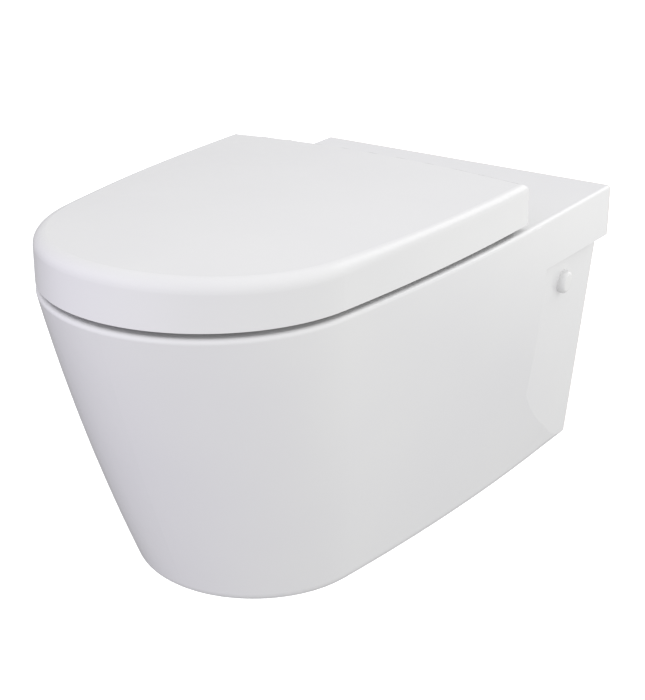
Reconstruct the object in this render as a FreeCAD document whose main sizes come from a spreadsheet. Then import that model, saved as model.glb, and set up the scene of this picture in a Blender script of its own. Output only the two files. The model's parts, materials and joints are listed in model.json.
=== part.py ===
import FreeCAD, Part
import math
import os
import re

import Sketcher
from FreeCAD import Placement, Rotation, Vector

# Wall-hung washdown pan with a wrap-over lid and seat, in millimetres.
# The wall is the plane y = 0, the pan reaches forward along -y, and z is up.
# The origin is on the wall, halfway between the two wall studs.

DIMENSIONS = {
    # ceramic pan, outside
    "pan_width": 380.0,
    "pan_length": 657.0,
    "pan_height": 320.0,
    "rim_height": 80.0,
    "base_width": 300.0,
    "toe_inset": 112.0,
    "rim_curve": 487.0,
    "base_straight": 57.0,
    "taper_angle": 8.0,
    "side_bulge": 7.0,
    "front_bulge": 6.0,
    "rim_edge_radius": 4.0,
    "base_edge_radius": 16.0,
    "deck_band": 58.0,
    "wall_flare": 5.2,
    "recess_depth": 13.5,
    "recess_run": 145.0,
    "recess_flare": 8.5,
    # ceramic pan, inside
    "skirt_wall": 10.0,
    "deck_thickness": 14.0,
    "jamb_wall": 14.0,
    "bulkhead_thickness": 16.0,
    "bulkhead_drop": 30.0,
    "bowl_wall": 10.0,
    "bowl_depth": 288.0,
    "bowl_edge_radius": 9.0,
    "rim_land": 68.0,
    "rim_front_land": 57.0,
    "bowl_share": 0.173,
    "bowl_egg": 10.0,
    "bowl_collar": 55.0,
    "waist_depth": 140.0,
    "waist_inset": 28.0,
    "waist_rear_inset": 14.0,
    "sump_depth": 215.0,
    "sump_radius": 58.0,
    "sump_reach": 24.0,
    "sump_rear_reach": 8.0,
    "floor_radius": 42.0,
    "floor_reach": 18.0,
    "floor_front_reach": 6.0,
    "trap_bore": 76.0,
    "trap_wall": 10.0,
    "trap_start": 380.0,
    "trap_bend_start": 312.0,
    "trap_dip": 172.0,
    "trap_crest": 45.0,
    "trap_climb_angle": 55.0,
    "trap_fall_angle": 45.0,
    "trap_entry_radius": 85.0,
    "trap_bend_radius": 60.0,
    # connections at the wall
    "stud_spacing": 180.0,
    "inlet_bore": 55.0,
    "inlet_rise": 35.0,
    "inlet_depth": 60.0,
    "inlet_wall": 10.0,
    "flush_bore": 40.0,
    "outlet_diameter": 102.0,
    "outlet_drop": 100.0,
    "outlet_length": 45.0,
    # lid
    "lid_side_inset": 3.0,
    "lid_front_inset": 1.0,
    "lid_length": 459.0,
    "lid_square": 12.0,
    "lid_gap": 6.0,
    "lid_edge_rise": 49.5,
    "lid_crown": 6.3,
    "lid_edge_radius": 8.0,
    "lid_wall": 5.0,
    "lid_notch_width": 240.0,
    "lid_notch_rise": 42.0,
    "lid_relief_margin": 42.0,
    "lid_relief_front": 126.0,
    "lid_relief_rise": 5.0,
    # seat
    "seat_gap": 7.0,
    "seat_thickness": 26.0,
    "seat_back_inset": 42.0,
    "seat_arm_root": 20.0,
    "seat_side_gap": 2.0,
    "seat_edge_radius": 8.0,
    "seat_hole_radius": 10.0,
    "seat_land": 79.0,
    "seat_front_land": 65.0,
    "seat_hole_share": 0.217,
    "seat_egg": 12.0,
    # hinges
    "hinge_spacing": 155.0,
    "hinge_inset": 16.0,
    "hinge_rise": 27.0,
    "hinge_body_width": 15.6,
    "hinge_body_depth": 14.0,
    "hinge_body_radius": 9.0,
    "hinge_gap": 0.4,
    "knuckle_width": 23.0,
    "knuckle_radius": 10.0,
    "knuckle_block": 18.0,
    "pin_diameter": 8.0,
    "pin_clearance": 0.3,
    "damper_diameter": 14.0,
    "plate_diameter": 40.0,
    "plate_thickness": 3.5,
    "stud_head_diameter": 10.0,
    "stud_head_height": 7.0,
    "stud_shank": 8.0,
    "stud_length": 50.0,
    "socket_clearance": 0.3,
    "deck_hole": 14.0,
    "plug_diameter": 13.6,
    "plug_length": 34.0,
    "nut_size": 13.0,
    "nut_height": 8.0,
    "button_diameter": 8.0,
    "button_length": 10.5,
    "button_proud": 2.5,
    "button_drop": 10.5,
    "button_pocket": 12.0,
    "buffer_diameter": 18.0,
    "lid_buffer_diameter": 14.0,
    "rear_buffer_inset": 34.0,
    "rear_buffer_setback": 133.0,
    "front_buffer_inset": 75.0,
    "front_buffer_setback": 93.0,
    # side fixing
    "anchor_diameter": 30.0,
    "anchor_length": 82.0,
    "anchor_bore": 13.0,
    "anchor_head_size": 30.0,
    "anchor_head_length": 32.0,
    "bush_wall": 1.6,
    "bush_flange": 4.0,
    "bush_flange_thickness": 3.0,
    "fit_gap": 0.2,
    "clamp_setback": 88.0,
    "clamp_drop": 10.0,
    "clamp_shank": 8.0,
    "clamp_hole": 10.0,
    "clamp_head_diameter": 16.0,
    "clamp_head_height": 5.5,
    "clamp_length": 82.0,
    "cap_diameter": 26.0,
    "cap_height": 8.0,
    "cap_wall": 1.2,
    "cap_edge_radius": 4.0,
    # room that the cutting shapes reach past what they cut
    "overcut": 10.0,
}

# Sizes and distances from the wall that follow from the ones above
FOLLOWING = {
    "base_length": "pan_length - toe_inset",
    "rim_straight": "pan_length - rim_curve",
    "bulkhead_share": "(rim_height + bulkhead_drop - deck_band) / (pan_height - deck_band)",
    "bulkhead_high_half": "pan_width / 2 - recess_depth - jamb_wall / 2",
    "recess_lean": "(pan_width - base_width) / 2 - recess_depth",
    "bulkhead_low_half": "bulkhead_high_half - bulkhead_share * recess_lean",
    "lid_width": "pan_width - 2 * lid_side_inset",
    "lid_half": "lid_width / 2",
    "lid_front": "pan_length - lid_front_inset",
    "lid_back": "lid_front - lid_length",
    "lid_straight": "lid_back + lid_square",
    "bowl_back": "lid_back + bowl_share * lid_length",
    "bowl_front_radius": "pan_width / 2 - rim_land",
    "bowl_rear_radius": "bowl_front_radius - bowl_egg",
    "bowl_front_centre": "pan_length - rim_front_land - bowl_front_radius",
    "bowl_rear_centre": "bowl_back + bowl_rear_radius",
    "seat_back": "lid_back + seat_back_inset",
    "seat_hole_back": "lid_back + seat_hole_share * lid_length",
    "seat_front_radius": "lid_half - seat_land",
    "seat_rear_radius": "seat_front_radius - seat_egg",
    "seat_front_centre": "lid_front - seat_front_land - seat_front_radius",
    "seat_rear_centre": "seat_hole_back + seat_rear_radius",
    "hinge_setback": "lid_back + hinge_inset",
}

doc = FreeCAD.newDocument("WallHungPan")
sheet = doc.addObject("Spreadsheet::Sheet", "Dimensions")
cells = {alias: str(value) for alias, value in DIMENSIONS.items()}
cells.update({alias: "=" + rule for alias, rule in FOLLOWING.items()})
for row, (alias, content) in enumerate(cells.items(), start=1):
    sheet.set(f"A{row}", alias)
    sheet.set(f"B{row}", content)
    sheet.setAlias(f"B{row}", alias)
trial = doc.addObject("Spreadsheet::Sheet", "Trial")
doc.recompute()

TOLERANCE = 0.01
HEXAGON_SIDES = 6
ALIAS_WORD = re.compile(r"\b(" + "|".join(cells) + r")\b")
nodes = []


# Sizes and expressions

def formula(expression):
    """An expression of aliases as an object outside the sheet writes it."""
    return ALIAS_WORD.sub(r"Dimensions.\1", expression)


def number(expression):
    """Value of an expression of aliases, worked out in a cell of the trial sheet."""
    trial.set("A1", "=" + formula(expression))
    trial.recompute()
    return float(trial.get("A1"))


def bind(obj, prop, expression):
    obj.setExpression(prop, formula(expression))


def finish_node(obj, name):
    obj.Label = name
    nodes.append(obj)
    return obj


# Sketches

def new_body(name):
    return doc.addObject("PartDesign::Body", name)


def sketch_on(body, name, plane, offset):
    """Sketch on an origin plane of the body, moved along the plane's normal."""
    sketch = body.newObject("Sketcher::SketchObject", name)
    support = [f for f in body.Origin.OriginFeatures if f.Role == plane][0]
    sketch.AttachmentSupport = [(support, "")]
    sketch.MapMode = "FlatFace"
    sketch.AttachmentOffset = Placement(Vector(0, 0, number(offset)), Rotation())
    bind(sketch, "AttachmentOffset.Base.z", offset)
    return sketch


def dimension(sketch, expression, kind, *refs):
    value = number(expression)
    index = sketch.addConstraint(Sketcher.Constraint(kind, *refs, value))
    bind(sketch, f"Constraints[{index}]", expression)


def angle_dimension(sketch, expression, *refs):
    value = math.radians(number(expression))
    index = sketch.addConstraint(Sketcher.Constraint("Angle", *refs, value))
    sketch.setExpression(f"Constraints[{index}]", f"({formula(expression)}) * 1 deg")


def locate(sketch, geometry, position, x=None, y=None):
    """Hold a point of the sketch at a distance from the origin."""
    for kind, expression, axis in (("DistanceX", x, -2), ("DistanceY", y, -1)):
        if expression == "0":
            sketch.addConstraint(Sketcher.Constraint("PointOnObject", geometry, position, axis))
        elif expression is not None:
            dimension(sketch, expression, kind, -1, 1, geometry, position)


def tangent_chain(sketch, joints):
    for first, first_end, second, second_end in joints:
        sketch.addConstraint(Sketcher.Constraint("Tangent", first, first_end, second, second_end))


def arc(centre, radius, start, end):
    circle = Part.Circle(Vector(*centre, 0), Vector(0, 0, 1), radius)
    return Part.ArcOfCircle(circle, start, end)


def line(start, end):
    return Part.LineSegment(Vector(*start, 0), Vector(*end, 0))


def polygon(body, name, plane, offset, points):
    """Closed outline of straight edges through points given as expressions."""
    sketch = sketch_on(body, name, plane, offset)
    corners = [(number(x), number(y)) for x, y in points]
    count = len(corners)
    for i in range(count):
        sketch.addGeometry(line(corners[i], corners[(i + 1) % count]))
    for i in range(count):
        sketch.addConstraint(Sketcher.Constraint("Coincident", i, 2, (i + 1) % count, 1))
    for i, (x, y) in enumerate(points):
        locate(sketch, i, 1, x, y)
    return sketch


def disc(body, name, plane, offset, x, y, radius):
    sketch = sketch_on(body, name, plane, offset)
    centre = Vector(number(x), number(y), 0)
    sketch.addGeometry(Part.Circle(centre, Vector(0, 0, 1), number(radius)))
    locate(sketch, 0, 3, x, y)
    dimension(sketch, radius, "Radius", 0)
    return sketch


def outline(body, name, height, width, length, straight, back, flare="0"):
    """Plan outline: straight sides that may flare to the back, slowly closing side arcs, round front."""
    sketch = sketch_on(body, name, "XY_Plane", height)
    half = number(width) / 2
    back_half = half + number(flare)
    front = number(length)
    side = number(straight)
    rear = number(back)
    turn = math.radians(number("taper_angle"))
    lift = 1 - math.cos(turn)
    reach = (1 - math.sin(turn)) / math.cos(turn)
    side_radius = (front - side - half * reach) / (math.sin(turn) - lift * reach)
    front_radius = (half - side_radius * lift) / math.cos(turn)
    front_centre = (0, front_radius - front)
    sketch.addGeometry([
        line((back_half, -rear), (half, -side)),
        arc((half - side_radius, -side), side_radius, -turn, 0),
        arc(front_centre, front_radius, -math.pi / 2, -turn),
        arc(front_centre, front_radius, -math.pi + turn, -math.pi / 2),
        arc((side_radius - half, -side), side_radius, math.pi, math.pi + turn),
        line((-half, -side), (-back_half, -rear)),
        line((-back_half, -rear), (back_half, -rear)),
    ])
    tangent_chain(sketch, [(1, 1, 2, 2), (2, 1, 3, 2), (3, 1, 4, 2)])
    sketch.addConstraint([
        Sketcher.Constraint("Coincident", 0, 2, 1, 2),
        Sketcher.Constraint("Coincident", 4, 1, 5, 1),
        Sketcher.Constraint("Coincident", 6, 2, 0, 1),
        Sketcher.Constraint("Coincident", 5, 2, 6, 1),
        Sketcher.Constraint("Symmetric", 0, 1, 5, 2, -2),
        Sketcher.Constraint("Symmetric", 0, 2, 5, 1, -2),
        Sketcher.Constraint("PointOnObject", 2, 1, -2),
        Sketcher.Constraint("PointOnObject", 2, 3, -2),
        Sketcher.Constraint("Equal", 1, 4),
        Sketcher.Constraint("Equal", 2, 3),
    ])
    dimension(sketch, width, "DistanceX", 5, 1, 0, 2)
    dimension(sketch, f"{width} + 2 * ({flare})", "DistanceX", 5, 2, 0, 1)
    locate(sketch, 0, 1, y=f"-({back})")
    locate(sketch, 0, 2, y=f"-({straight})")
    locate(sketch, 1, 3, y=f"-({straight})")
    locate(sketch, 2, 1, y=f"-({length})")
    angle_dimension(sketch, "taper_angle", 1)
    return sketch


def egg(body, name, height, front_radius, rear_radius, front_centre, rear_centre):
    """Egg-shaped outline: two arcs joined by tangent lines."""
    sketch = sketch_on(body, name, "XY_Plane", height)
    front = number(front_radius)
    rear = number(rear_radius)
    front_y = -number(front_centre)
    rear_y = -number(rear_centre)
    lean = math.asin((front - rear) / (rear_y - front_y))
    across, along = math.cos(lean), math.sin(lean)
    sketch.addGeometry([
        arc((0, rear_y), rear, lean, math.pi - lean),
        line((-rear * across, rear_y + rear * along), (-front * across, front_y + front * along)),
        arc((0, front_y), front, math.pi - lean, 2 * math.pi + lean),
        line((front * across, front_y + front * along), (rear * across, rear_y + rear * along)),
    ])
    tangent_chain(sketch, [(0, 2, 1, 1), (1, 2, 2, 1), (2, 2, 3, 1), (3, 2, 0, 1)])
    locate(sketch, 0, 3, "0", f"-({rear_centre})")
    locate(sketch, 2, 3, "0", f"-({front_centre})")
    dimension(sketch, rear_radius, "Radius", 0)
    dimension(sketch, front_radius, "Radius", 2)
    return sketch


# Features

def loft(body, name, kind, sections, ruled=False):
    feature = body.newObject("PartDesign::" + kind, name)
    feature.Profile = sections[0]
    feature.Sections = sections[1:]
    feature.Ruled = ruled
    doc.recompute()
    return feature


def extrude(body, name, kind, sketch, length, reverse=False):
    feature = body.newObject("PartDesign::" + kind, name)
    feature.Profile = sketch
    feature.Type = "Length"
    feature.Reversed = reverse
    bind(feature, "Length", length)
    doc.recompute()
    return feature


def sweep(body, name, kind, profile, path):
    feature = body.newObject("PartDesign::" + kind, name)
    feature.Profile = profile
    feature.Spine = (path, [f"Edge{i + 1}" for i in range(len(path.Shape.Edges))])
    doc.recompute()
    return feature


def round_edges(body, name, radius, wanted):
    """Fillet on the edges of the body's tip for which wanted(edge) is true."""
    base = body.Tip
    found = [f"Edge{i}" for i, edge in enumerate(base.Shape.Edges, start=1) if wanted(edge)]
    feature = body.newObject("PartDesign::Fillet", name)
    feature.Base = (base, found)
    bind(feature, "Radius", radius)
    doc.recompute()
    return feature


def level_edge(height, nearest=0.0):
    """Test for edges at one height that lie further forward than a given distance."""
    def wanted(edge):
        box = edge.BoundBox
        level = abs(box.ZMin - height) < TOLERANCE and abs(box.ZMax - height) < TOLERANCE
        return level and box.YMin < -nearest - TOLERANCE
    return wanted


def hole_edge(height, front, rear, half_width):
    """Test for edges at one height that lie round a hole of the given extents."""
    def wanted(edge):
        box = edge.BoundBox
        across = max(box.XMax, -box.XMin) < half_width + TOLERANCE
        along = -box.YMin < front + TOLERANCE and -box.YMax > rear - TOLERANCE
        return level_edge(height)(edge) and across and along
    return wanted


AXES = {"X": Rotation(Vector(0, 1, 0), 90), "FRONT": Rotation(Vector(1, 0, 0), 90), "UP": Rotation()}


def place(obj, x, y, z, rotation=Rotation()):
    obj.Placement = Placement(Vector(number(x), number(y), number(z)), rotation)
    bind(obj, "Placement.Base.x", x)
    bind(obj, "Placement.Base.y", y)
    bind(obj, "Placement.Base.z", z)
    return obj


def rod(name, radius, height):
    obj = doc.addObject("Part::Cylinder", name)
    bind(obj, "Radius", radius)
    bind(obj, "Height", height)
    return obj


def cylinder(name, radius, height, x, y, z, axis="UP"):
    return place(rod(name, radius, height), x, y, z, AXES[axis])


def box(name, length, width, height, x, y, z):
    obj = doc.addObject("Part::Box", name)
    bind(obj, "Length", length)
    bind(obj, "Width", width)
    bind(obj, "Height", height)
    return place(obj, x, y, z)


def hexagon(name, corner_radius, height):
    obj = doc.addObject("Part::Prism", name)
    obj.Polygon = HEXAGON_SIDES
    bind(obj, "Circumradius", corner_radius)
    bind(obj, "Height", height)
    return obj


def hexagon_bar(name, size, height, x, y, z, axis="UP"):
    """Hexagonal bar with the given distance across its flats."""
    return place(hexagon(name, f"({size}) / sqrt(3)", height), x, y, z, AXES[axis])


def fuse(name, shapes):
    obj = doc.addObject("Part::MultiFuse", name)
    obj.Shapes = shapes
    return obj


def cut(name, base, tools):
    obj = doc.addObject("Part::Cut", name)
    obj.Base = base
    obj.Tool = tools[0] if len(tools) == 1 else fuse(name + "Tools", tools)
    return obj


def group(name, solids):
    obj = doc.addObject("Part::Compound", name)
    obj.Links = solids
    return obj


SIDES = (("left", "Left", -1), ("right", "Right", 1))


def inner_end(side, inner, width):
    """Lower x of a piece that spans a width outwards from a distance off the middle."""
    return inner if side > 0 else f"-({inner}) - ({width})"


# Heights and places that several pieces share
BASE_LEVEL = "rim_height - pan_height"
MIDDLE_LEVEL = "rim_height - pan_height / 2"
BAND_LEVEL = "rim_height - deck_band"
DECK_MIDDLE = "rim_height - deck_thickness / 2"
LID_BOTTOM = "rim_height + lid_gap"
LID_EDGE_TOP = "rim_height + lid_edge_rise"
LID_CEILING = "rim_height + lid_edge_rise - lid_wall"
SEAT_BOTTOM = "rim_height + seat_gap"
SEAT_TOP = "rim_height + seat_gap + seat_thickness"
AXIS_LEVEL = "rim_height + hinge_rise"
PLATE_TOP = "rim_height + plate_thickness"
LID_KNUCKLE = "hinge_spacing / 2 - hinge_body_width / 2 - hinge_gap - knuckle_width"
SEAT_KNUCKLE = "hinge_spacing / 2 + hinge_body_width / 2 + hinge_gap"
KNUCKLE_BORE = "damper_diameter / 2 + fit_gap / 2"


# Ceramic pan

def pan_sections(body, name, wall, top):
    """Three outlines of the pan, drawn in by a wall thickness."""
    middle_width = "(pan_width + base_width) / 2 + 2 * side_bulge"
    middle_length = "(pan_length + base_length) / 2 + front_bulge"
    middle_straight = "(rim_straight + base_straight) / 2"
    back = "-overcut"
    return [
        outline(body, name + "Base", f"{BASE_LEVEL} + {wall}", f"base_width - 2 * {wall}",
                f"base_length - {wall}", "base_straight", back),
        outline(body, name + "Middle", MIDDLE_LEVEL, f"{middle_width} - 2 * {wall}",
                f"{middle_length} - {wall}", middle_straight, back, "wall_flare"),
        outline(body, name + "Rim", top, f"pan_width - 2 * {wall}",
                f"pan_length - {wall}", "rim_straight", back),
    ]


def add_outside(body):
    loft(body, "Outside", "AdditiveLoft", pan_sections(body, "Outside", "0", "rim_height"))
    reach = "pan_width / 2 + overcut"
    wall_side = polygon(body, "WallPlane", "XY_Plane", f"{BASE_LEVEL} - overcut", [
        (f"-({reach})", "0"), (reach, "0"), (reach, "2 * overcut"), (f"-({reach})", "2 * overcut")])
    extrude(body, "WallCut", "Pocket", wall_side, "pan_height + 2 * overcut", reverse=True)
    round_edges(body, "RimEdge", "rim_edge_radius", level_edge(number("rim_height")))
    round_edges(body, "BaseEdge", "base_edge_radius", level_edge(number(BASE_LEVEL)))


def hollow_skirt(body):
    ceiling = "rim_height - deck_thickness"
    loft(body, "Hollow", "SubtractiveLoft", pan_sections(body, "Hollow", "skirt_wall", ceiling))
    right = [
        ("base_width / 2 - jamb_wall", f"{BASE_LEVEL} + jamb_wall"),
        ("pan_width / 2 - recess_depth - jamb_wall", DECK_MIDDLE),
        ("pan_width / 2 - skirt_wall / 2", DECK_MIDDLE),
        ("(pan_width + base_width) / 4 + side_bulge - skirt_wall / 2", MIDDLE_LEVEL),
        ("base_width / 2 - skirt_wall / 2", f"{BASE_LEVEL} + skirt_wall / 2")]
    left = [(f"-({x})", z) for x, z in reversed(right)]
    frame = polygon(body, "JambOutline", "XZ_Plane", "-overcut", right + left)
    extrude(body, "Jambs", "Pad", frame, "recess_run + 2 * overcut")
    for _, side_name, side in SIDES:
        ends = []
        for end, forward, flare in (("Wall", "0", "0"), ("Front", "recess_run", "recess_flare")):
            outer = f"{side} * (pan_width / 2 + overcut)"
            ends.append(polygon(body, f"Recess{end}{side_name}", "XZ_Plane", forward, [
                (f"{side} * (base_width / 2 + {flare})", BASE_LEVEL),
                (f"{side} * (pan_width / 2 - recess_depth + {flare})", BAND_LEVEL),
                (outer, BAND_LEVEL),
                (outer, BASE_LEVEL)]))
        loft(body, "Recess" + side_name, "SubtractiveLoft", ends, ruled=True)


def bowl_sections(body, name, wall, top):
    levels = [
        ("Rim", top, "bowl_front_radius", "bowl_rear_radius", "bowl_front_centre", "bowl_rear_centre"),
        ("Collar", "rim_height - bowl_collar", "bowl_front_radius", "bowl_rear_radius",
         "bowl_front_centre", "bowl_rear_centre"),
        ("Waist", "rim_height - waist_depth", "bowl_rear_radius - waist_inset",
         "bowl_rear_radius - waist_inset", "bowl_front_centre - waist_inset",
         "bowl_rear_centre - waist_rear_inset"),
        ("Sump", "rim_height - sump_depth", "sump_radius", "sump_radius",
         "trap_start + sump_reach", "trap_start - sump_rear_reach"),
        ("Floor", f"rim_height - bowl_depth - {wall}", "floor_radius", "floor_radius",
         "trap_start - floor_front_reach", "trap_start - floor_reach"),
    ]
    return [
        egg(body, name + level, height, f"{front} + {wall}", f"{rear} + {wall}", front_y, rear_y)
        for level, height, front, rear, front_y, rear_y in levels
    ]


def trap_path(body):
    """Centre line of the trap: back from the sump, up over the weir and down to the outlet."""
    path = sketch_on(body, "TrapPath", "YZ_Plane", "0")
    climb = math.radians(number("trap_climb_angle"))
    fall = math.radians(number("trap_fall_angle"))
    entry = number("trap_entry_radius")
    bend = number("trap_bend_radius")
    start = (-number("trap_start"), -number("trap_dip"))
    entry_centre = (-number("trap_bend_start"), start[1] + entry)
    climb_start = (entry_centre[0] + entry * math.sin(climb), entry_centre[1] - entry * math.cos(climb))
    crest_level = -number("trap_crest") - bend
    climb_rise = crest_level + bend * math.cos(climb) - climb_start[1]
    climb_end = (climb_start[0] + climb_rise / math.tan(climb), climb_start[1] + climb_rise)
    crest_centre = (climb_end[0] + bend * math.sin(climb), crest_level)
    fall_start = (crest_centre[0] + bend * math.sin(fall), crest_level + bend * math.cos(fall))
    exit_level = -number("outlet_drop")
    fall_drop = fall_start[1] - exit_level - bend * (1 - math.cos(fall))
    fall_end = (fall_start[0] + fall_drop / math.tan(fall), fall_start[1] - fall_drop)
    exit_centre = (fall_end[0] + bend * math.sin(fall), exit_level + bend)
    path.addGeometry([
        line(start, (entry_centre[0], start[1])),
        arc(entry_centre, entry, -math.pi / 2, climb - math.pi / 2),
        line(climb_start, climb_end),
        arc(crest_centre, bend, math.pi / 2 - fall, math.pi / 2 + climb),
        line(fall_start, fall_end),
        arc(exit_centre, bend, -math.pi / 2 - fall, -math.pi / 2),
        line((exit_centre[0], exit_level), (number("overcut"), exit_level)),
    ])
    tangent_chain(path, [(0, 2, 1, 1), (1, 2, 2, 1), (2, 2, 3, 2), (3, 1, 4, 1), (4, 2, 5, 1),
                         (5, 2, 6, 1)])
    path.addConstraint([Sketcher.Constraint("Horizontal", 0), Sketcher.Constraint("Horizontal", 6)])
    locate(path, 0, 1, "-trap_start", "-trap_dip")
    locate(path, 0, 2, x="-trap_bend_start")
    locate(path, 3, 3, y="-trap_crest - trap_bend_radius")
    locate(path, 6, 2, "overcut", "-outlet_drop")
    dimension(path, "trap_entry_radius", "Radius", 1)
    dimension(path, "trap_bend_radius", "Radius", 3)
    dimension(path, "trap_bend_radius", "Radius", 5)
    angle_dimension(path, "trap_climb_angle", 1)
    angle_dimension(path, "trap_fall_angle", 5)
    doc.recompute()
    return path


def add_waterways(body):
    bulkhead = polygon(body, "BulkheadOutline", "XZ_Plane", "-overcut", [
        ("-bulkhead_low_half", "-bulkhead_drop"),
        ("bulkhead_low_half", "-bulkhead_drop"),
        ("bulkhead_high_half", DECK_MIDDLE),
        ("-bulkhead_high_half", DECK_MIDDLE)])
    extrude(body, "Bulkhead", "Pad", bulkhead, "bulkhead_thickness + overcut")
    loft(body, "BowlOutside", "AdditiveLoft",
         bowl_sections(body, "BowlOutside", "bowl_wall", DECK_MIDDLE))
    path = trap_path(body)
    trap_outer = disc(body, "TrapOutside", "XZ_Plane", "trap_start", "0", "-trap_dip",
                      "trap_bore / 2 + trap_wall")
    sweep(body, "Trap", "AdditivePipe", trap_outer, path)
    spigot = disc(body, "SpigotOutside", "XZ_Plane", "0", "0", "-outlet_drop", "outlet_diameter / 2")
    extrude(body, "Spigot", "Pad", spigot, "outlet_length")
    inlet = disc(body, "InletOutside", "XZ_Plane", "0", "0", "inlet_rise", "inlet_bore / 2 + inlet_wall")
    extrude(body, "InletTube", "Pad", inlet, "bowl_back + overcut")
    mouth, *bowl = bowl_sections(body, "Bowl", "0", "rim_height")
    extrude(body, "BowlMouth", "Pocket", mouth, "bowl_collar")
    loft(body, "Bowl", "SubtractiveLoft", bowl)
    trap_inner = disc(body, "TrapInside", "XZ_Plane", "trap_start", "0", "-trap_dip", "trap_bore / 2")
    sweep(body, "TrapBore", "SubtractivePipe", trap_inner, path)
    extrude(body, "WallFlush", "Pocket", body.getObject("WallPlane"), "pan_height + 2 * overcut",
            reverse=True)
    round_edges(body, "BowlEdge", "bowl_edge_radius", hole_edge(
        number("rim_height"), number("pan_length - rim_front_land"), number("bowl_back"),
        number("bowl_front_radius")))


def clamp_frame():
    """Seat of a clamp screw on the right-hand recess: its centre and outward normal."""
    lean = number("(pan_width - base_width) / 2 - recess_depth") / number("pan_height - deck_band")
    flare = number("recess_flare / recess_run")
    setback = number("clamp_setback")
    drop = number("clamp_drop")
    across = number("base_width / 2") + lean * (-drop - number(BASE_LEVEL)) + flare * setback
    centre = Vector(across, -setback, -drop)
    normal = Vector(1, flare, -lean)
    return centre, normal.normalize()


def along_clamp(obj, side, offset):
    """Stand a piece on the recess at one side, its z axis along the outward normal."""
    centre, normal = clamp_frame()
    foot = Vector(side * centre.x, centre.y, centre.z)
    outward = Vector(side * normal.x, normal.y, normal.z)
    obj.Placement = Placement(foot + outward * number(offset), Rotation(Vector(0, 0, 1), outward))
    return obj


def build_pan():
    body = new_body("PanCasting")
    add_outside(body)
    hollow_skirt(body)
    add_waterways(body)
    holes = [
        cylinder("InletSocket", "inlet_bore / 2", "inlet_depth", "0", "0", "inlet_rise", "FRONT"),
        cylinder("FlushWay", "flush_bore / 2", "bowl_back + overcut", "0", "0", "inlet_rise", "FRONT"),
    ]
    for _, side_name, side in SIDES:
        holes.append(cylinder("AnchorHole" + side_name, "anchor_diameter / 2 + bush_wall + fit_gap",
                              "bulkhead_thickness + overcut", f"{side} * stud_spacing / 2",
                              "overcut / 2", "0", "FRONT"))
        holes.append(cylinder("HingeHole" + side_name, "deck_hole / 2", "deck_thickness + overcut",
                              f"{side} * hinge_spacing / 2", "-hinge_setback",
                              "rim_height - deck_thickness - overcut / 2"))
        clamp_hole = rod("ClampHole" + side_name, "clamp_hole / 2",
                         "jamb_wall + recess_flare + 2 * overcut")
        holes.append(along_clamp(clamp_hole, side, "-jamb_wall - recess_flare - overcut"))
    finish_node(cut("Pan", body, holes), "pan")


# Lid

def crown_sketch(body, name, forward, half_width, level, rise, headroom):
    """Area above a shallow arch, or under it where the headroom is zero."""
    sketch = sketch_on(body, name, "XZ_Plane", forward)
    half = number(half_width)
    low = number(level)
    high = number(rise)
    radius = (half * half + high * high) / (2 * high)
    spread = math.asin(half / radius)
    sketch.addGeometry(arc((0, low + high - radius), radius, math.pi / 2 - spread, math.pi / 2 + spread))
    locate(sketch, 0, 1, half_width, level)
    locate(sketch, 0, 2, f"-({half_width})", level)
    locate(sketch, 0, 3, y=f"{level} + {rise} - (({half_width})^2 + ({rise})^2) / (2 * {rise})")
    if headroom == "0":
        sketch.addGeometry(line((-half, low), (half, low)))
        sketch.addConstraint(Sketcher.Constraint("Coincident", 0, 2, 1, 1))
        sketch.addConstraint(Sketcher.Constraint("Coincident", 1, 2, 0, 1))
        return sketch
    roof = low + high + number(headroom)
    sketch.addGeometry([
        line((-half, low), (-half, roof)),
        line((-half, roof), (half, roof)),
        line((half, roof), (half, low)),
    ])
    for first, second in ((0, 1), (1, 2), (2, 3)):
        sketch.addConstraint(Sketcher.Constraint("Coincident", first, 2, second, 1))
    sketch.addConstraint(Sketcher.Constraint("Coincident", 3, 2, 0, 1))
    sketch.addConstraint([Sketcher.Constraint("Vertical", 1), Sketcher.Constraint("Vertical", 3)])
    locate(sketch, 1, 2, y=f"{level} + {rise} + {headroom}")
    sketch.addConstraint(Sketcher.Constraint("Horizontal", 2))
    return sketch


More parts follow.
